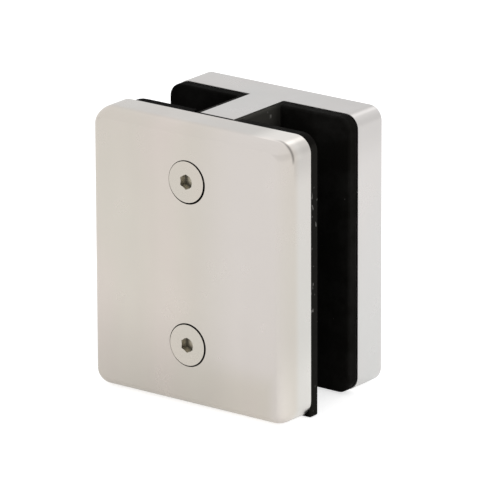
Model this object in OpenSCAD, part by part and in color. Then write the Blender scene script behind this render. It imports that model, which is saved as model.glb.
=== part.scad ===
// Glass panel clamp, millimetres, +Z up.
// Two plates joined by a central web; a pane slides into the slot on each side
// of the web and is gripped between rubber linings when the two screws are tightened.

/* [Clamp] */
// Width of the front plate
clamp_w = 45.5; // [42:0.5:52]
// Height of the front plate
clamp_h = 55; // [50:0.5:65]
// Free space between the two plates
plate_gap = 16.8; // [16:0.1:20]

/* [Front plate] */
// Thickness of the front plate
front_t = 8.5; // [7.5:0.1:11]
// Radius of the front plate's corners
front_r = 3.4; // [3.4:0.1:6]
// Width of the soft edge, seen from the front
edge_in = 2; // [1.6:0.1:2.4]
// Depth of the soft edge, along the side
edge_deep = 3.7; // [3:0.1:5]
// Radius of the tight arc where the soft edge meets the face
edge_tight = 1.2; // [0.8:0.1:1.4]
// Flats that each arc of a plate's edge is made of
edge_flats = 6; // [4:1:8]
// Gap left between the front plate and the end of the web
seam = 0.3; // [0.1:0.05:0.5]

/* [Rear body] */
// How far the front plate stands past the rear plate at each side
side_over = 1.5; // [0.5:0.05:3]
// How far it stands past the rear plate and the web at the top and the bottom
end_over = 0.25; // [0:0.05:2]
// Thickness of the rear plate
rear_t = 8; // [6.5:0.1:11]
// Radius of the rear plate's corners
rear_r = 2.8; // [1.5:0.1:5]
// Radius of the rear plate's outer edges
rear_edge = 0.7; // [0.4:0.1:1.2]
// Width of the web
web_w = 7.8; // [7:0.1:11]

/* [Rubber] */
// Thickness of the front pads
pad_t = 2.1; // [1.5:0.1:2.8]
// Thickness of the liners on the rear plate
liner_t = 2.7; // [1.8:0.1:3.2]
// Thickness of the liner's leg along the web
leg_t = 1.1; // [0.8:0.1:2]
// How far the rubber stops short of the plates' outline
pad_inset = 0.1; // [0.05:0.05:0.8]
// Radius of the front pad's outer top corner
pad_top_r = 3.3; // [1:0.1:5]
// Radius of the front pad's outer bottom corner
pad_low_r = 0.4; // [0.3:0.1:3]
// Clearance between the liner's leg and the front plate and its pad
pad_clear = 0.3; // [0.2:0.05:0.6]

/* [Screws] */
// Distance between the two screws
screw_pitch = 32; // [28:0.5:36]
// How far the pair of screws sits above mid height
screw_rise = 0.7; // [0:0.1:1]
// Diameter of the thread
thread_d = 4; // [3:0.5:5]
// Length of a screw over its head
screw_l = 20; // [16:0.5:22]
// Diameter of the head
head_d = 8; // [7.4:0.1:9]
// Height of the straight rim of the head
rim_h = 0.3; // [0.2:0.05:0.8]
// Depth of the head below the front face
head_sink = 0.1; // [0:0.05:0.4]
// Width across flats of the hex socket
socket_af = 2.5; // [2:0.1:3]
// Depth of the hex socket
socket_h = 1.8; // [1.2:0.1:2]
// Bevel at the screw's tip
tip_bevel = 0.5; // [0.2:0.1:0.8]

/* [Screw holes] */
// Ring gap round the head at the front face
ring_gap = 0.2; // [0.15:0.05:0.3]
// Gap between the head's cone and its countersink
cone_gap = 0.3; // [0.25:0.05:0.4]
// Clearance round the thread in the front plate
hole_clear = 0.25; // [0.2:0.05:0.4]
// Clearance round the thread in the web
tap_clear = 0.05; // [0.02:0.01:0.1]
// Depth of the tapped holes in the web
tap_depth = 13; // [12:0.5:15]

/* [Hidden] */
$fn = 96;
eps = 0.02;
clamp_d = front_t + plate_gap + rear_t;
front_y = -clamp_d / 2;
front_back_y = front_y + front_t;
rear_y = front_back_y + plate_gap;
web_y = front_back_y + seam;
mid_z = clamp_h / 2;
rear_w = clamp_w - 2 * side_over;
rear_h = clamp_h - 2 * end_over;
// the soft edge's wide arc is tangent to the side and to the tight arc, which it meets at edge_lean
edge_wide = (pow(edge_in, 2) - pow(edge_tight, 2) + pow(edge_deep - edge_tight, 2))
    / (2 * (edge_in - edge_tight));
edge_lean = atan2(edge_deep - edge_tight, edge_wide - edge_in);
socket_r = socket_af / sqrt(3);
thread_r = thread_d / 2;
head_r = head_d / 2;
cone_h = head_r - thread_r;
hole_r = thread_r + hole_clear;
sink_r = head_r + ring_gap;
// the countersink's cone runs parallel to the head's, cone_gap away
sink_shift = cone_gap * sqrt(2);
// depth at which the countersink's cone leaves its straight mouth
mouth_h = head_sink + rim_h + head_r + sink_shift - sink_r;
sink_h = sink_r - hole_r;

// Piece to draw

// rectangle centred on the origin with all corners rounded
module round_rect(w, h, r) {
    square([w - 2 * r, h], center = true);
    square([w, h - 2 * r], center = true);
    for (sx = [-1, 1], sy = [-1, 1])
        translate([sx * (w / 2 - r), sy * (h / 2 - r)]) circle(r);
}

// to the nearest micrometre, so that a plate's sides and corners share the same edges
function snap(v) = round(v * 1000) / 1000;

// points of an arc, from just after angle a1 to a2
function arc(x, y, r, a1, a2) = [for (i = [1:edge_flats])
    let (a = a1 + (a2 - a1) * i / edge_flats) [snap(x + r * cos(a)), snap(y + r * sin(a))]];

// edges in section, from the side to the face, measured from the corner they take off
soft_edge = [[0, -edge_deep],
    each arc(-edge_wide, -edge_deep, edge_wide, 0, edge_lean),
    each arc(-edge_in, -edge_tight, edge_tight, edge_lean, 90)];
plain_edge = [[0, -rear_edge],
    each arc(-rear_edge, -rear_edge, rear_edge, 0, 90)];

// half section through a plate from its middle or corner axis to its side at x, face at t
module half_section(x, t, edge) {
    polygon([[0, 0], [x, 0], for (p = edge) [x, t] + p, [0, t]]);
}

// plate lying flat with its rounded face up
module soft_plate(w, h, t, r, edge) {
    for (m = [0, 1]) {
        rotate([90, 0, 0]) linear_extrude(h - 2 * r, center = true)
            mirror([m, 0]) half_section(w / 2, t, edge);
        rotate([90, 0, 90]) linear_extrude(w - 2 * r, center = true)
            mirror([m, 0]) half_section(h / 2, t, edge);
    }
    for (i = [0:3])
        rotate(i * 90)
            translate(i % 2 == 0 ? [w / 2 - r, h / 2 - r] : [h / 2 - r, w / 2 - r])
                rotate_extrude(angle = 90) half_section(r, t, edge);
}

// cylinder along +Y from the front face inwards
module along_y(y, len, r1, r2) {
    translate([0, y, 0]) rotate([-90, 0, 0]) cylinder(h = len, r1 = r1, r2 = r2);
}

// moves a screw or its hole to its place
module at_screws(sides = [1, -1]) {
    for (s = sides)
        translate([0, front_y, mid_z + screw_rise + s * screw_pitch / 2]) children();
}

module rear_body() {
    color([0.78, 0.77, 0.75]) difference() {
        union() {
            translate([0, rear_y, mid_z]) rotate([-90, 0, 0])
                soft_plate(rear_w, rear_h, rear_t, rear_r, plain_edge);
            translate([-web_w / 2, web_y, end_over])
                cube([web_w, rear_y + rear_t / 2 - web_y, rear_h]);
        }
        at_screws() along_y(front_t, seam + tap_depth, thread_r + tap_clear, thread_r + tap_clear);
    }
}

module front_plate() {
    color([0.80, 0.79, 0.77]) difference() {
        translate([0, front_back_y, mid_z]) rotate([90, 0, 0])
            soft_plate(clamp_w, clamp_h, front_t, front_r, soft_edge);
        at_screws() {
            along_y(-1, mouth_h + 1, sink_r, sink_r);
            along_y(mouth_h, sink_h, sink_r, hole_r);
            along_y(mouth_h + sink_h - eps, front_t, hole_r, hole_r);
        }
    }
}

// right-hand liner: pad on the rear plate and leg along the web
module liner() {
    w = rear_w - 2 * pad_inset;
    h = rear_h - 2 * pad_inset;
    leg_y = front_back_y + pad_clear;
    translate([0, rear_y, mid_z]) rotate([90, 0, 0])
        linear_extrude(liner_t) intersection() {
            round_rect(w, h, rear_r - pad_inset);
            translate([web_w / 2, -h / 2]) square([w, h]);
        }
    translate([web_w / 2, leg_y, mid_z - h / 2])
        cube([leg_t, rear_y - liner_t / 2 - leg_y, h]);
}

// right-hand pad behind the front plate, from the liner's leg to the plate's side
module front_pad() {
    inner_x = web_w / 2 + leg_t + pad_clear;
    w = clamp_w / 2 - pad_inset - inner_x;
    h = clamp_h - 2 * pad_inset;
    translate([inner_x, front_back_y + pad_t, mid_z]) rotate([90, 0, 0])
        linear_extrude(pad_t) {
            translate([0, -h / 2 + pad_low_r])
                square([w, h - pad_low_r - pad_top_r]);
            translate([0, -h / 2]) square([w - pad_low_r, h / 2]);
            square([w - pad_top_r, h / 2]);
            translate([w - pad_low_r, -h / 2 + pad_low_r]) circle(pad_low_r);
            translate([w - pad_top_r, h / 2 - pad_top_r]) circle(pad_top_r);
        }
}

module screw() {
    difference() {
        union() {
            along_y(head_sink, rim_h, head_r, head_r);
            along_y(head_sink + rim_h, cone_h, head_r, thread_r);
            along_y(head_sink + rim_h + cone_h - eps,
                    screw_l - rim_h - cone_h - tip_bevel + eps, thread_r, thread_r);
            along_y(head_sink + screw_l - tip_bevel, tip_bevel, thread_r, thread_r - tip_bevel);
        }
        translate([0, head_sink + socket_h, 0]) rotate([90, 0, 0])
            rotate(90) linear_extrude(socket_h + 1) circle(socket_r, $fn = 6);
    }
}

module left_liner() { color([0.06, 0.06, 0.06]) mirror([1, 0, 0]) liner(); }
module right_liner() { color([0.06, 0.06, 0.06]) liner(); }
module left_pad() { color([0.07, 0.07, 0.07]) mirror([1, 0, 0]) front_pad(); }
module right_pad() { color([0.07, 0.07, 0.07]) front_pad(); }
module upper_screw() { color([0.76, 0.74, 0.70]) at_screws([1]) screw(); }
module lower_screw() { color([0.76, 0.74, 0.70]) at_screws([-1]) screw(); }

rear_body();
front_plate();
left_liner();
right_liner();
left_pad();
right_pad();
upper_screw();
lower_screw();
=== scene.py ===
import math
import bpy
from mathutils import Matrix, Vector


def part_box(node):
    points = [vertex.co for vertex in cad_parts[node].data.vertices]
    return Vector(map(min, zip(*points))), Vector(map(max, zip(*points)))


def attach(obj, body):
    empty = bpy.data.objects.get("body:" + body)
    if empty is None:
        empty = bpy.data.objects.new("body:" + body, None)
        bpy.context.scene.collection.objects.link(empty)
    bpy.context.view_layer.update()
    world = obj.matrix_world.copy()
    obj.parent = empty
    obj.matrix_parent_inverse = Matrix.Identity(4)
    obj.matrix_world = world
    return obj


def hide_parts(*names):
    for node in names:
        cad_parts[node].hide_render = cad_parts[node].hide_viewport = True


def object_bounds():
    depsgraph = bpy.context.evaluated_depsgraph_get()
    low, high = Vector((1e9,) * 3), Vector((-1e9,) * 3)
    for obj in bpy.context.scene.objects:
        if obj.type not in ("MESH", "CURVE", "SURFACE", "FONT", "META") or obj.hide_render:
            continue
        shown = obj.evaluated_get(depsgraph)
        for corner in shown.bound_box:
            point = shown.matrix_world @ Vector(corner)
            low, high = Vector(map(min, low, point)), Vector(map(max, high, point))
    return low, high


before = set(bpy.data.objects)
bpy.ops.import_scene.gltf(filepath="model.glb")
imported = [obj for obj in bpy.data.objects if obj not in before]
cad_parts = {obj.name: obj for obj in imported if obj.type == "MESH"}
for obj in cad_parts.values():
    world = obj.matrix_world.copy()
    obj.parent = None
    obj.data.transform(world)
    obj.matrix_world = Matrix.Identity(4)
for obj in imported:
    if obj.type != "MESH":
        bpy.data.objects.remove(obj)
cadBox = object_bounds()
mm = 0.001
hair = 0.01 * mm  # places this close count as one
past = 1 * mm  # how far a cutter stands out of what it cuts


# small helpers for working in edit mode

def deselectAll():
    if bpy.context.mode != "OBJECT":
        bpy.ops.object.mode_set(mode="OBJECT")
    bpy.ops.object.select_all(action="DESELECT")


def makeActive(obj):
    deselectAll()
    obj.select_set(True)
    bpy.context.view_layer.objects.active = obj


def editPick(obj, kind, test):
    # goes into edit mode with only the verts, edges or faces that pass the test selected
    makeActive(obj)
    mesh = obj.data
    for part in (mesh.vertices, mesh.edges, mesh.polygons):
        part.foreach_set("select", [False] * len(part))
    parts = {"VERT": mesh.vertices, "EDGE": mesh.edges, "FACE": mesh.polygons}
    for element in parts[kind]:
        element.select = bool(test(element))
    bpy.ops.object.mode_set(mode="EDIT")
    bpy.ops.mesh.select_mode(type=kind)


def leaveEdit():
    bpy.ops.object.mode_set(mode="OBJECT")


def ends(obj, edge):
    return [obj.data.vertices[i].co for i in edge.vertices]


def putPlaceInMesh():
    # the object goes back to the origin, unturned and unscaled
    bpy.ops.object.transform_apply(location=True, rotation=True, scale=True)


def addBlock(name, low, high):
    deselectAll()
    bpy.ops.mesh.primitive_cube_add(size=1, location=(Vector(low) + Vector(high)) / 2)
    obj = bpy.context.object
    obj.name = name
    obj.data.name = name
    obj.scale = Vector(high) - Vector(low)
    putPlaceInMesh()
    return obj


def coneAlongY(x, y, z, length, radiusFront, radiusBack, sides=96):
    deselectAll()
    bpy.ops.mesh.primitive_cone_add(
        vertices=sides, radius1=radiusFront, radius2=radiusBack, depth=length,
        location=(x, y + length / 2, z), rotation=(-math.pi / 2, 0, 0))
    putPlaceInMesh()
    return bpy.context.object


def applyModifier(obj, kind, **settings):
    makeActive(obj)
    modifier = obj.modifiers.new(kind, kind)
    for key, value in settings.items():
        setattr(modifier, key, value)
    bpy.ops.object.modifier_apply(modifier=modifier.name)


def cutWith(obj, cutter):
    applyModifier(obj, "BOOLEAN", operation="DIFFERENCE", object=cutter, solver="EXACT")
    bpy.data.objects.remove(cutter)


def joinInto(obj, others):
    makeActive(obj)
    for other in others:
        other.select_set(True)
    bpy.ops.object.join()
    return obj


def breakEdges(obj, width, segments):
    # rounds all the edges that are still sharp
    applyModifier(obj, "BEVEL", width=width, segments=segments, limit_method="ANGLE",
                  angle_limit=math.radians(50))


def finishSmooth(obj, angle=35):
    makeActive(obj)
    bpy.ops.object.shade_smooth_by_angle(angle=math.radians(angle))
    applyModifier(obj, "WEIGHTED_NORMAL", weight=60, keep_sharp=True)


def bevelPicked(obj, width, segments, test):
    editPick(obj, "EDGE", test)
    bpy.ops.mesh.bevel(offset=width, segments=segments, affect="EDGES", clamp_overlap=False)
    leaveEdit()


def bevelCorners(obj, radius, segments, test):
    # rounds the edges that run front to back and pass the test
    def runsBack(edge):
        a, b = ends(obj, edge)
        return abs(a.x - b.x) < hair and abs(a.z - b.z) < hair and test(a)
    bevelPicked(obj, radius, segments, runsBack)


def bevelRim(obj, y, width, segments):
    # rounds every edge that lies in the plane at y
    def inPlane(edge):
        return all(abs(v.y - y) < hair for v in ends(obj, edge))
    bevelPicked(obj, width, segments, inPlane)


def pullForward(obj, cuts, distance):
    # splits a block at the planes x = cuts and moves the front of its inner part along Y
    for x in cuts:
        editPick(obj, "FACE", lambda face: True)
        bpy.ops.mesh.bisect(plane_co=(x, 0, 0), plane_no=(1, 0, 0))
        leaveEdit()
    editPick(obj, "FACE", lambda face: face.normal.y < -0.9 and abs(face.center.x) < abs(cuts[0]))
    bpy.ops.mesh.extrude_region_move(TRANSFORM_OT_translate={"value": (0, distance, 0)})
    bpy.ops.mesh.select_all(action="SELECT")
    bpy.ops.mesh.dissolve_limited(angle_limit=math.radians(1))
    leaveEdit()


# node helpers: each gives back the socket that the next one reads

def newMaterial(name):
    material = bpy.data.materials.new(name)
    material.use_nodes = True
    tree = material.node_tree
    tree.nodes.clear()
    output = tree.nodes.new("ShaderNodeOutputMaterial")
    shader = tree.nodes.new("ShaderNodeBsdfPrincipled")
    tree.links.new(shader.outputs[0], output.inputs[0])
    return material, tree, shader


def noise(tree, vector, scale, detail, roughness, stretch=(1, 1, 1)):
    mapping = tree.nodes.new("ShaderNodeMapping")
    mapping.inputs["Scale"].default_value = stretch
    tree.links.new(vector, mapping.inputs["Vector"])
    node = tree.nodes.new("ShaderNodeTexNoise")
    node.inputs["Scale"].default_value = scale
    node.inputs["Detail"].default_value = detail
    node.inputs["Roughness"].default_value = roughness
    tree.links.new(mapping.outputs[0], node.inputs["Vector"])
    return node.outputs["Fac"]


def ramp(tree, value, stops):
    node = tree.nodes.new("ShaderNodeValToRGB")
    elements = node.color_ramp.elements
    while len(elements) < len(stops):
        elements.new(0.5)
    for element, (position, color) in zip(elements, stops):
        element.position = position
        element.color = (*color, 1)
    tree.links.new(value, node.inputs[0])
    return node.outputs[0]


def mapRange(tree, value, fromMin, fromMax, toMin=0.0, toMax=1.0, kind="LINEAR"):
    node = tree.nodes.new("ShaderNodeMapRange")
    node.interpolation_type = kind
    node.inputs["From Min"].default_value = fromMin
    node.inputs["From Max"].default_value = fromMax
    node.inputs["To Min"].default_value = toMin
    node.inputs["To Max"].default_value = toMax
    tree.links.new(value, node.inputs[0])
    return node.outputs[0]


def spread(tree, value, low, high):
    # a noise stays mostly between 0.3 and 0.7
    return mapRange(tree, value, 0.3, 0.7, low, high)


def fade(tree, value, start, full):
    # 0 at start, 1 at full, eased in between; start may be the larger one
    return mapRange(tree, value, start, full, kind="SMOOTHSTEP")


def mixColors(tree, factor, first, second, blend="MIX"):
    node = tree.nodes.new("ShaderNodeMix")
    node.data_type = "RGBA"
    node.blend_type = blend
    for index, value in ((0, factor), (6, first), (7, second)):
        if hasattr(value, "links"):
            tree.links.new(value, node.inputs[index])
        elif isinstance(value, float):
            node.inputs[index].default_value = value
        else:
            node.inputs[index].default_value = (*value, 1)
    return node.outputs[2]


def mathNode(tree, operation, *values):
    node = tree.nodes.new("ShaderNodeMath")
    node.operation = operation
    for socket, value in zip(node.inputs, values):
        if hasattr(value, "links"):
            tree.links.new(value, socket)
        else:
            socket.default_value = value
    return node.outputs[0]


def allOf(tree, masks):
    product = masks[0]
    for mask in masks[1:]:
        product = mathNode(tree, "MULTIPLY", product, mask)
    return product


def bump(tree, shader, height, strength, distance):
    node = tree.nodes.new("ShaderNodeBump")
    node.inputs["Strength"].default_value = strength
    node.inputs["Distance"].default_value = distance
    tree.links.new(height, node.inputs["Height"])
    tree.links.new(node.outputs[0], shader.inputs["Normal"])


# finishes are painted in patches, each (how much darker, spans), brighter if the amount is negative
# a span is (side, mm where it starts, mm where it is full), and a patch lies where its spans meet

def sidesOf(tree, place, box):
    # each side is (socket, where its zero lies, which way it counts)
    split = tree.nodes.new("ShaderNodeSeparateXYZ")
    tree.links.new(place, split.inputs[0])
    x, y, z = split.outputs
    low, high = box
    return {"x": (x, 0, 1), "y": (y, 0, 1), "z": (z, 0, 1),
            "depth": (y, low.y, 1), "down": (z, high.z, -1), "inward": (x, high.x, -1)}


def within(tree, sides, spans):
    masks = []
    for side, start, full in spans:
        socket, zero, way = sides[side]
        masks.append(fade(tree, socket, zero + way * start * mm, zero + way * full * mm))
    return allOf(tree, masks)


def darken(tree, color, mask, amount):
    # multiplies the colour by 1 - amount where the mask is 1
    level = mathNode(tree, "SUBTRACT", 1.0, mathNode(tree, "MULTIPLY", mask, amount))
    grey = tree.nodes.new("ShaderNodeCombineColor")
    for socket in grey.inputs:
        tree.links.new(level, socket)
    return mixColors(tree, 1.0, color, grey.outputs[0], "MULTIPLY")


def paint(tree, sides, color, patches):
    for amount, spans in patches:
        color = darken(tree, color, within(tree, sides, spans), amount)
    return color


def startFinish(look, box):
    material, tree, shader = newMaterial(look["name"])
    place = tree.nodes.new("ShaderNodeTexCoord").outputs["Object"]
    return material, tree, shader, place, sidesOf(tree, place, box)


def wear(obj, material, body):
    obj.data.materials.clear()
    obj.data.materials.append(material)
    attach(obj, body)


# satin stainless: fine grain, soft cloudy variation in tone and polish

satinSteel = dict(
    cloudScale=55, cloudStretch=(1, 1, 0.35), cloudStops=(0.34, 0.5, 0.66),
    hazeScale=121, roughLow=0.26, roughHigh=0.34,
    grainScale=900, grainStretch=(0.12, 1, 1), grainBump=0.02, grainDepth=0.05 * mm)


def steelSurface(tree, shader, place, look):
    # a hazy polish and a fine grain; gives back the clouds that vary the tone
    shader.inputs["Metallic"].default_value = 1
    haze = noise(tree, place, look["hazeScale"], detail=4, roughness=0.6)
    tree.links.new(spread(tree, haze, look["roughLow"], look["roughHigh"]), shader.inputs["Roughness"])
    grain = noise(tree, place, look["grainScale"], detail=2, roughness=0.6, stretch=look["grainStretch"])
    bump(tree, shader, grain, look["grainBump"], look["grainDepth"])
    return noise(tree, place, look["cloudScale"], detail=2, roughness=0.45,
                 stretch=look["cloudStretch"])


def cloudy(tree, clouds, look, tints=("warm", "color", "cool")):
    return ramp(tree, clouds, [(stop, look[tint]) for stop, tint in zip(look["cloudStops"], tints)])


def fromScrewAxis(tree, sides, places):
    # both screws at once: the height is folded about the middle between them
    x, z = sides["x"][0], sides["z"][0]
    midZ = (places[0].z + places[1].z) / 2
    rise = abs(places[0].z - places[1].z) / 2
    fromMiddle = mathNode(tree, "ABSOLUTE", mathNode(tree, "SUBTRACT", z, midZ))
    fromAxis = mathNode(tree, "SUBTRACT", fromMiddle, rise)
    squares = mathNode(tree, "ADD", mathNode(tree, "MULTIPLY", x, x),
                       mathNode(tree, "MULTIPLY", fromAxis, fromAxis))
    return mathNode(tree, "SQRT", squares)


bodySteel = dict(
    satinSteel, name="bodySteel",
    color=(0.627, 0.615, 0.603), warm=(0.637, 0.615, 0.600), cool=(0.617, 0.617, 0.604),
    patches=[
        # painted shade on the flat top, and on the right side just under the upper right edge
        (0.14, [("down", 0.5, 0.1)]),
        (0.09, [("inward", 0.85, 0.15), ("down", 10.75, 3.75)])],
    # a dark stripe across the web's top, just behind the front plate: painted shade of the seam between
    # them
    seamPaintedShade=0.97, seamSpans=[("depth", 1.0, 0.75), ("depth", 0.05, 0.25), ("down", 0.95, 0.35)])


def makeBodySteel(look, box):
    material, tree, shader, place, sides = startFinish(look, box)
    clouds = steelSurface(tree, shader, place, look)
    color = cloudy(tree, clouds, look)
    color = paint(tree, sides, color, look["patches"])
    seam = within(tree, sides, look["seamSpans"])
    color = darken(tree, color, seam, look["seamPaintedShade"])
    tree.links.new(color, shader.inputs["Base Color"])
    # the painted seam shade is dull as well as dark
    polish = shader.inputs["Roughness"].links[0].from_socket
    tree.links.new(mathNode(tree, "MAXIMUM", polish, seam), shader.inputs["Roughness"])
    return material


faceSteel = dict(
    satinSteel, name="faceSteel",
    # the edges, and the face in a warmer, darker tone, with painted light over its right half
    color=(0.648, 0.625, 0.595), warm=(0.658, 0.625, 0.592), cool=(0.640, 0.627, 0.597),
    face=(0.603, 0.562, 0.507), faceWarm=(0.618, 0.561, 0.518), faceCool=(0.598, 0.565, 0.507),
    faceRightLit=(0.645, 0.604, 0.572),
    rightHalf=[("x", -1, 13), ("inward", -1.25, 2.75)], aboveFoot=[("z", 6, 12)],
    besideEdge=[("inward", 4.75, 1.25)],
    # depth at which the face's tone gives way to the edges', and how much later at the right
    edgeStart=2.2 * mm, edgeFull=4.2 * mm, reach=0.9 * mm, reachSpans=[("inward", 3.25, 0.75)],
    streakScale=75, streakStretch=(1, 1, 0.16), streakStart=0.36, streakFull=0.64, streakDark=0.045,
    # painted shade on the flat top
    topPatches=[(0.12, [("down", 0.5, 0.1)])],
    patches=[
        # painted highlight on the crown of the top edge
        (-0.09, [("down", 2.1, 1.6), ("depth", 3.2, 2.0)]),
        # a dark line round the upper right corner, and painted shade on the side just under it
        (0.55, [("depth", 2.5, 3.0), ("depth", 3.55, 3.0), ("inward", 5.25, 1.15), ("down", 4.5, 3.0)]),
        (0.14, [("depth", 2.9, 3.6), ("inward", 0.85, 0.25), ("down", 9.5, 3.5)]),
        # painted highlights on the edge before the dark line, low on the right side, and behind the dark
        # line
        (-0.36, [("depth", 2.3, 2.9), ("inward", 10.75, 5.75), ("inward", 0.95, 2.75),
                 ("down", 2.0, 0.6)]),
        (-0.2, [("inward", 2.25, 0.35), ("z", 18, 2)]),
        (-0.12, [("depth", 3.1, 3.7), ("depth", 6.5, 4.5), ("inward", 3.25, 1.75), ("down", 4.0, 2.5)]),
        # painted shade: the face is a little darker low on the left
        (0.145, [("z", 22, 1), ("x", 20, -4)]),
        # painted shade in the straight mouths of the countersinks, fading out to the left
        (0.9, [("radius", 4.8, 4.6), ("depth", 0.03, 0.10), ("depth", 0.75, 0.6), ("x", -2.6, 0.5)])])


def makeFaceSteel(look, box, places):
    material, tree, shader, place, sides = startFinish(look, box)
    clouds = steelSurface(tree, shader, place, look)
    sides["radius"] = (fromScrewAxis(tree, sides, places), 0, 1)
    edgeTint = cloudy(tree, clouds, look)
    edgeTint = paint(tree, sides, edgeTint, look["topPatches"])
    faceTint = cloudy(tree, clouds, look, ("faceWarm", "face", "faceCool"))
    # the right half of the face takes a brighter tone: painted light from the right
    above = mathNode(tree, "MAXIMUM", within(tree, sides, look["aboveFoot"]),
                     within(tree, sides, look["besideEdge"]))
    rightHalf = allOf(tree, [within(tree, sides, look["rightHalf"]), above])
    faceTint = mixColors(tree, rightHalf, faceTint, look["faceRightLit"])
    depth = mathNode(tree, "SUBTRACT", sides["depth"][0], sides["depth"][1])
    reach = mathNode(tree, "MULTIPLY", within(tree, sides, look["reachSpans"]), look["reach"])
    edge = fade(tree, mathNode(tree, "SUBTRACT", depth, reach), look["edgeStart"], look["edgeFull"])
    color = mixColors(tree, edge, faceTint, edgeTint)
    streaks = noise(tree, place, look["streakScale"], detail=2, roughness=0.5,
                    stretch=look["streakStretch"])
    streaks = fade(tree, streaks, look["streakStart"], look["streakFull"])
    color = darken(tree, color, streaks, look["streakDark"])
    color = paint(tree, sides, color, look["patches"])
    tree.links.new(color, shader.inputs["Base Color"])
    return material


screwSteel = dict(
    satinSteel, name="screwSteel", cloudStretch=(1, 1, 1), roughLow=0.24, roughHigh=0.3,
    color=(0.570, 0.534, 0.478), warm=(0.580, 0.534, 0.478), cool=(0.564, 0.536, 0.478),
    # the socket's inside is a little darker: painted shade in the recess
    socket=(0.53, 0.50, 0.43),
    socketSpans=[("radius", 1.75, 1.55), ("depth", 0.08, 0.2), ("depth", 3.0, 2.6)],
    patches=[
        # painted shade where the socket's walls meet its floor, and in the gap round the head
        (0.55, [("radius", 1.75, 1.55), ("radius", 0.7, 1.1), ("depth", 3.0, 2.6), ("depth", 1.0, 1.7)]),
        (0.92, [("radius", 3.94, 3.96), ("depth", 0, 0.12), ("x", -2.6, 0.5)])])


def makeScrewSteel(look, box, places):
    material, tree, shader, place, sides = startFinish(look, box)
    clouds = steelSurface(tree, shader, place, look)
    sides["radius"] = (fromScrewAxis(tree, sides, places), 0, 1)
    color = cloudy(tree, clouds, look)
    color = mixColors(tree, within(tree, sides, look["socketSpans"]), color, look["socket"])
    color = paint(tree, sides, color, look["patches"])
    tree.links.new(color, shader.inputs["Base Color"])
    return material


# rubber: nearly black, with faint dust, and pale flecks in loose groups where it was cut

blackRubber = dict(
    name="blackRubber", color=(0.0062, 0.0058, 0.0050), specular=0.018,
    dust=(0.0135, 0.013, 0.012), dustScale=160, dustStart=0.45, dustFull=0.72,
    # painted light on the upper end of the legs and on the right pad's outer side, lit from the right
    legPaintedLight=(0.047, 0.045, 0.040), legSpans=[("middle", 5.3, 5.1), ("y", 8, 2.5), ("down", 6.9, 1.9)],
    padSide=(0.0155, 0.0147, 0.0130), padSideSpans=[("inward", 0.55, 0.15)],
    patches=[(0.5, [("x", -2, -4)])],  # painted shade: the left rubber is darker
    fleck=(0.16, 0.155, 0.145), fleckScale=1100, fleckStretch=(1, 1, 0.5),
    fleckStart=0.78, fleckFull=0.81,
    groupScale=210, groupStart=0.42, groupFull=0.58, groupMore=0.14,
    grainScale=1400, grainBump=0.25, grainDepth=0.05 * mm, roughLow=0.64, roughHigh=0.82)


def makeRubber(look, box):
    material, tree, shader, place, sides = startFinish(look, box)
    shader.inputs["Specular IOR Level"].default_value = look["specular"]
    dusty = noise(tree, place, look["dustScale"], detail=5, roughness=0.65)
    color = ramp(tree, dusty, [(look["dustStart"], look["color"]), (look["dustFull"], look["dust"])])
    sides["middle"] = (mathNode(tree, "ABSOLUTE", sides["x"][0]), 0, 1)
    leg = within(tree, sides, look["legSpans"])
    padSide = within(tree, sides, look["padSideSpans"])
    color = mixColors(tree, leg, color, look["legPaintedLight"])
    color = mixColors(tree, padSide, color, look["padSide"])
    color = paint(tree, sides, color, look["patches"])
    # the groups bring the noise nearer to the level at which it shows as flecks
    groups = noise(tree, place, look["groupScale"], detail=1, roughness=0.5)
    groups = fade(tree, groups, look["groupStart"], look["groupFull"])
    cutGroups = allOf(tree, [mathNode(tree, "MAXIMUM", leg, padSide), groups])
    flecks = noise(tree, place, look["fleckScale"], detail=2, roughness=0.5, stretch=look["fleckStretch"])
    flecks = mathNode(tree, "MULTIPLY_ADD", cutGroups, look["groupMore"], flecks)
    flecks = fade(tree, flecks, look["fleckStart"], look["fleckFull"])
    tree.links.new(mixColors(tree, flecks, color, look["fleck"]), shader.inputs["Base Color"])
    grain = noise(tree, place, look["grainScale"], detail=3, roughness=0.6)
    tree.links.new(spread(tree, grain, look["roughLow"], look["roughHigh"]), shader.inputs["Roughness"])
    bump(tree, shader, grain, look["grainBump"], look["grainDepth"])
    return material


screwPlaces = []  # centre of each head's face, upper one first
for word in ("upper", "lower"):
    low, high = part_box(word + "_screw")
    screwPlaces.append(Vector(((low.x + high.x) / 2, low.y, (low.z + high.z) / 2)))
bodyFinish = makeBodySteel(bodySteel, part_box("rear_body"))
faceFinish = makeFaceSteel(faceSteel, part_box("front_plate"), screwPlaces)
screwFinish = makeScrewSteel(screwSteel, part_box("upper_screw"), screwPlaces)
rubber = makeRubber(blackRubber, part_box("right_pad"))
print("materials made")

# rear body: plate and web in one piece

rearBody = dict(cornerRadius=2.8 * mm, backEdge=0.7 * mm, softEdge=0.12 * mm, endGap=0.02 * mm,
                boreRadius=2.05 * mm, boreDepth=13 * mm)


def makeRearBody(look):
    low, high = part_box("rear_body")
    linerLow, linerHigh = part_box("right_liner")
    webHalf = linerLow.x
    plateFront = linerHigh.y
    bore = look["boreRadius"]
    obj = addBlock("rearCasting", (low.x, plateFront, low.z), high)
    pullForward(obj, (-webHalf, webHalf), low.y + look["endGap"] - plateFront)
    bevelCorners(obj, look["cornerRadius"], segments=12, test=lambda v: abs(v.x) > webHalf + past)
    bevelRim(obj, high.y, look["backEdge"], segments=6)
    for place in screwPlaces:
        cutWith(obj, coneAlongY(0, low.y - past, place.z, look["boreDepth"] + past, bore, bore))
    breakEdges(obj, look["softEdge"], segments=2)
    finishSmooth(obj)
    return obj


rearCasting = makeRearBody(rearBody)
wear(rearCasting, bodyFinish, "rear")
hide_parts("rear_body")
print("rear body made")

# front plate: cushioned front edges, countersunk for two screws

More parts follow.
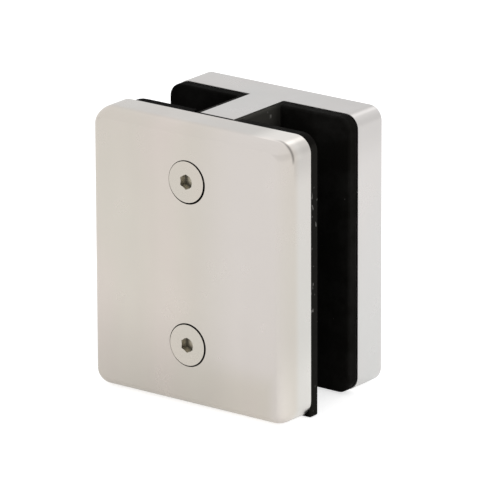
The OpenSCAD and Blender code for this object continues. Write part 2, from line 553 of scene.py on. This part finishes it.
frontPlate = dict(cornerRadius=3.4 * mm, edgeIn=2.0 * mm, edgeDeep=3.7 * mm, backEdge=0.18 * mm,
                  mouthRadius=4.25 * mm, mouthDepth=0.62 * mm, holeRadius=2.25 * mm,
                  mouthOff=((0.24 * mm, 0), (0.215 * mm, 0.09 * mm)), sliver=0.002 * mm)


def makeFrontPlate(look):
    low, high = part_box("front_plate")
    edgeIn = look["edgeIn"]
    obj = addBlock("coverPlate", low, high)
    bevelCorners(obj, look["cornerRadius"], segments=14, test=lambda v: True)
    bevelRim(obj, low.y, edgeIn, segments=12)
    # the round edge is drawn out along the sides
    editPick(obj, "VERT", lambda v: v.co.y < low.y + edgeIn + hair)
    bpy.ops.transform.resize(value=(1, look["edgeDeep"] / edgeIn, 1), center_override=(0, low.y, 0))
    leaveEdit()
    bevelRim(obj, high.y, look["backEdge"], segments=2)
    mouth, hole, mouthDepth = look["mouthRadius"], look["holeRadius"], look["mouthDepth"]
    sinkFront = low.y + mouthDepth
    sinkDepth = mouth - hole
    for place, (offX, offZ) in zip(screwPlaces, look["mouthOff"]):
        x, z = place.x + offX, place.z + offZ
        cutWith(obj, coneAlongY(x, low.y - past, z, mouthDepth + past, mouth, mouth))
        cutWith(obj, coneAlongY(x, sinkFront, z, sinkDepth, mouth, hole))
        cutWith(obj, coneAlongY(x, sinkFront + sinkDepth - hair, z, high.y - low.y, hole, hole))
    # where one cut meets the next, slivers are left
    editPick(obj, "VERT", lambda v: True)
    bpy.ops.mesh.remove_doubles(threshold=look["sliver"])
    leaveEdit()
    finishSmooth(obj)
    return obj


coverPlate = makeFrontPlate(frontPlate)
wear(coverPlate, faceFinish, "front")
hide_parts("front_plate")
print("front plate made")

# rubber: two L-shaped liners on the casting, two flat pads behind the front plate

linerSizes = dict(thick=2.7 * mm, legWidth=1.1 * mm, corner=2.7 * mm, edge=0.5 * mm, endGap=0.02 * mm)


def makeLiner(look, side, node):
    low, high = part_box(node)
    inner, outer = (low.x, high.x) if side > 0 else (high.x, low.x)
    padFront = high.y - look["thick"]
    obj = addBlock("liner", (low.x, padFront, low.z), high)
    pullForward(obj, [inner + side * look["legWidth"]], low.y + look["endGap"] - padFront)
    bevelCorners(obj, look["corner"], segments=10, test=lambda v: abs(v.x - outer) < hair)
    breakEdges(obj, look["edge"], segments=6)
    finishSmooth(obj)
    return obj


padSizes = dict(topRight=3.3 * mm, topLeft=5.5 * mm, lowCorner=0.4 * mm, edge=0.15 * mm)


def makePad(look, side, node):
    low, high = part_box(node)
    outer, topCorner = (high.x, look["topRight"]) if side > 0 else (low.x, look["topLeft"])
    midZ = (low.z + high.z) / 2
    obj = addBlock("pad", low, high)
    bevelCorners(obj, topCorner, segments=10,
                 test=lambda v: abs(v.x - outer) < hair and v.z > midZ)
    bevelCorners(obj, look["lowCorner"], segments=6,
                 test=lambda v: abs(v.x - outer) < hair and v.z < midZ)
    breakEdges(obj, look["edge"], segments=3)
    finishSmooth(obj)
    return obj


for side, word in ((-1, "left"), (1, "right")):
    liner = makeLiner(linerSizes, side, word + "_liner")
    liner.name = word + "LinerRubber"
    wear(liner, rubber, "rear")
    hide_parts(word + "_liner")
    pad = makePad(padSizes, side, word + "_pad")
    pad.name = word + "PadRubber"
    wear(pad, rubber, "front")
    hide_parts(word + "_pad")
print("rubber made")

# countersunk screws with a hex socket and a rolled thread

screw = dict(headRadius=4.0 * mm, rimHeight=0.3 * mm, rimBreak=0.04 * mm, rimEase=0.3, proud=0.06 * mm,
             neckRadius=1.96 * mm, neckLength=0.6 * mm, shankRadius=1.66 * mm, tipBevel=0.5 * mm,
             crestRadius=1.99 * mm, pitch=0.7 * mm, threadStart=3.2 * mm, threadLead=0.2 * mm,
             rootSink=0.03 * mm, rootHalf=0.44, crestHalf=0.07,  # halves are shares of the pitch
             socketFlats=2.6 * mm, socketDepth=1.8 * mm, socketLead=1.40 * mm, leadDepth=0.15 * mm,
             drillShare=0.8, drillDepth=0.6 * mm, drillTip=0.05 * mm)


def lathe(name, x, z, stations, sides=96):
    # a ring carried along Y through the stations, each (y, radius), and closed at both ends
    deselectAll()
    y, radius = stations[0]
    bpy.ops.mesh.primitive_circle_add(vertices=sides, radius=radius, fill_type="NGON",
                                      location=(x, y, z), rotation=(math.pi / 2, 0, 0))
    obj = bpy.context.object
    obj.name = name
    putPlaceInMesh()
    editPick(obj, "FACE", lambda face: True)
    for nextY, nextRadius in stations[1:]:
        growth = nextRadius / radius
        bpy.ops.mesh.extrude_region_move(TRANSFORM_OT_translate={"value": (0, nextY - y, 0)})
        bpy.ops.transform.resize(value=(growth, 1, growth), center_override=(x, nextY, z))
        y, radius = nextY, nextRadius
    bpy.ops.mesh.select_all(action="SELECT")
    bpy.ops.mesh.normals_make_consistent(inside=False)
    leaveEdit()
    return obj


def makeThread(look, x, z, startY, endY):
    # one tooth in section, swept round the shank
    deselectAll()
    bpy.ops.mesh.primitive_plane_add(size=1)
    obj = bpy.context.object
    root, crest, pitch = look["shankRadius"] - look["rootSink"], look["crestRadius"], look["pitch"]
    tooth = [(root, -look["rootHalf"]), (root, look["rootHalf"]),
             (crest, look["crestHalf"]), (crest, -look["crestHalf"])]
    for index, (radius, share) in zip(obj.data.polygons[0].vertices, tooth):
        obj.data.vertices[index].co = (radius, share * pitch, 0)
    applyModifier(obj, "SCREW", axis="Y", angle=2 * math.pi, screw_offset=pitch,
                  iterations=int((endY - startY) / pitch), steps=40, render_steps=40,
                  use_smooth_shade=True)
    # both ends of the sweep are open, and are closed here
    editPick(obj, "VERT", lambda v: False)
    bpy.ops.mesh.select_non_manifold()
    bpy.ops.mesh.fill_holes(sides=8)
    bpy.ops.mesh.select_all(action="SELECT")
    bpy.ops.mesh.normals_make_consistent(inside=False)
    leaveEdit()
    obj.location = (x, startY, z)
    putPlaceInMesh()
    return obj


def makeScrew(look, node):
    low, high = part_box(node)
    x, z = (low.x + high.x) / 2, (low.z + high.z) / 2
    top = low.y - look["proud"]
    head, shank, crest = look["headRadius"], look["shankRadius"], look["crestRadius"]
    edge, ease = look["rimBreak"], look["rimEase"] * look["rimBreak"]
    neck = top + look["rimHeight"] + head - crest
    obj = lathe("screwBody", x, z, [
        (top, head - edge),
        (top + ease, head - ease),
        (top + edge, head),
        (top + look["rimHeight"], head),
        (neck, crest),
        (neck + look["neckLength"], look["neckRadius"]),
        (top + look["threadStart"], shank),
        (high.y - look["tipBevel"], shank),
        (high.y, shank - look["tipBevel"])])
    # hex socket, the lead at its mouth and the drill point in its floor
    hexRadius = look["socketFlats"] / math.sqrt(3)
    floor = top + look["socketDepth"]
    lead, leadDepth = look["socketLead"], look["leadDepth"]
    drill = look["drillShare"] * look["socketFlats"] / 2
    cutWith(obj, coneAlongY(x, top - past, z, look["socketDepth"] + past, hexRadius, hexRadius, sides=6))
    cutWith(obj, coneAlongY(x, top - hair, z, leadDepth, lead, lead - leadDepth))
    cutWith(obj, coneAlongY(x, floor - 2 * hair, z, look["drillDepth"], drill, look["drillTip"]))
    threadY = top + look["threadStart"] + look["threadLead"]
    thread = makeThread(look, x, z, threadY, high.y - look["tipBevel"])
    finishSmooth(obj)
    finishSmooth(thread, angle=25)
    return joinInto(obj, [thread])


for word in ("upper", "lower"):
    piece = makeScrew(screw, word + "_screw")
    piece.name = word + "CountersunkScrew"
    wear(piece, screwFinish, word + "_screw")
    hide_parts(word + "_screw")
print("screws made")

# floor, light and camera

floorLook = dict(size=3.0, color=(0.75, 0.75, 0.75), roughness=0.9, specular=0.1,
                 seen=0.68, mirrored=0.52)


def makeFloor(look):
    deselectAll()
    bpy.ops.mesh.primitive_circle_add(vertices=64, radius=look["size"], fill_type="NGON")
    floor = bpy.context.object
    floor.name = "studioFloor"
    material, tree, shader = newMaterial("paleFloor")
    shader.inputs["Base Color"].default_value = (*look["color"], 1)
    shader.inputs["Roughness"].default_value = look["roughness"]
    shader.inputs["Specular IOR Level"].default_value = look["specular"]
    rays = tree.nodes.new("ShaderNodeLightPath").outputs
    seen = mathNode(tree, "MULTIPLY", rays["Is Camera Ray"], look["seen"])
    mirrored = mathNode(tree, "MULTIPLY", rays["Is Glossy Ray"], look["mirrored"])
    tree.links.new(mathNode(tree, "MAXIMUM", seen, mirrored), shader.inputs["Emission Strength"])
    shader.inputs["Emission Color"].default_value = (1, 1, 1, 1)
    floor.data.materials.append(material)


worldLook = dict(color=(1, 1, 1), level=0.8)


def makeWorld(look):
    # plain white wherever it is seen, mirrored or shines through, a little lower as light
    world = bpy.data.worlds.new("studioWorld")
    bpy.context.scene.world = world
    world.use_nodes = True
    tree = world.node_tree
    background = tree.nodes["Background"]
    rays = tree.nodes.new("ShaderNodeLightPath").outputs
    seen = mathNode(tree, "MAXIMUM", rays["Is Camera Ray"], rays["Is Glossy Ray"])
    seen = mathNode(tree, "MAXIMUM", seen, rays["Is Transmission Ray"])
    background.inputs["Color"].default_value = (*look["color"], 1)
    tree.links.new(mapRange(tree, seen, 0, 1, look["level"], 1), background.inputs["Strength"])


lampLook = dict(name="edgeLamp", direction=(-0.03, 0.761, 0.648), distance=1.2,
                width=0.4, height=0.42, power=0.28)


def addLamp(look):
    # a soft panel that faces the middle of the clamp
    lamp = bpy.data.lights.new(look["name"], "AREA")
    lamp.shape = "RECTANGLE"
    lamp.size = look["width"]
    lamp.size_y = look["height"]
    lamp.energy = look["power"]
    obj = bpy.data.objects.new(look["name"], lamp)
    bpy.context.scene.collection.objects.link(obj)
    middle = (Vector(cadBox[0]) + Vector(cadBox[1])) / 2
    obj.location = middle + Vector(look["direction"]).normalized() * look["distance"]
    obj.rotation_euler = (middle - obj.location).to_track_quat("-Z", "Y").to_euler()


cameraLook = dict(azimuth=36.99, elevation=17.78, roll=-0.22, lens=454.5, distance=1.1785,
                  aimRight=11.9 * mm, aimUp=3.3 * mm, clipEnd=20)


def makeCamera(look):
    az, el, roll = (math.radians(look[key]) for key in ("azimuth", "elevation", "roll"))
    forward = Vector((-math.sin(az) * math.cos(el), math.cos(az) * math.cos(el), -math.sin(el)))
    level = Vector((math.cos(az), math.sin(az), 0))
    upright = level.cross(forward)
    right = math.cos(roll) * level + math.sin(roll) * upright
    up = -math.sin(roll) * level + math.cos(roll) * upright
    plateLow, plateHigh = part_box("front_plate")
    faceCentre = Vector((0, plateLow.y, (plateLow.z + plateHigh.z) / 2))
    place = faceCentre + look["aimRight"] * right + look["aimUp"] * up - look["distance"] * forward
    camera = bpy.data.objects.new("studioCamera", bpy.data.cameras.new("studioCamera"))
    bpy.context.scene.collection.objects.link(camera)
    camera.data.lens = look["lens"]
    camera.data.clip_end = look["clipEnd"]
    turn = Matrix((right, up, -forward)).transposed()
    camera.matrix_world = Matrix.Translation(place) @ turn.to_4x4()
    bpy.context.scene.camera = camera


makeFloor(floorLook)
makeWorld(worldLook)
addLamp(lampLook)
makeCamera(cameraLook)
bpy.context.scene.view_settings.view_transform = "Standard"
print("studio made")
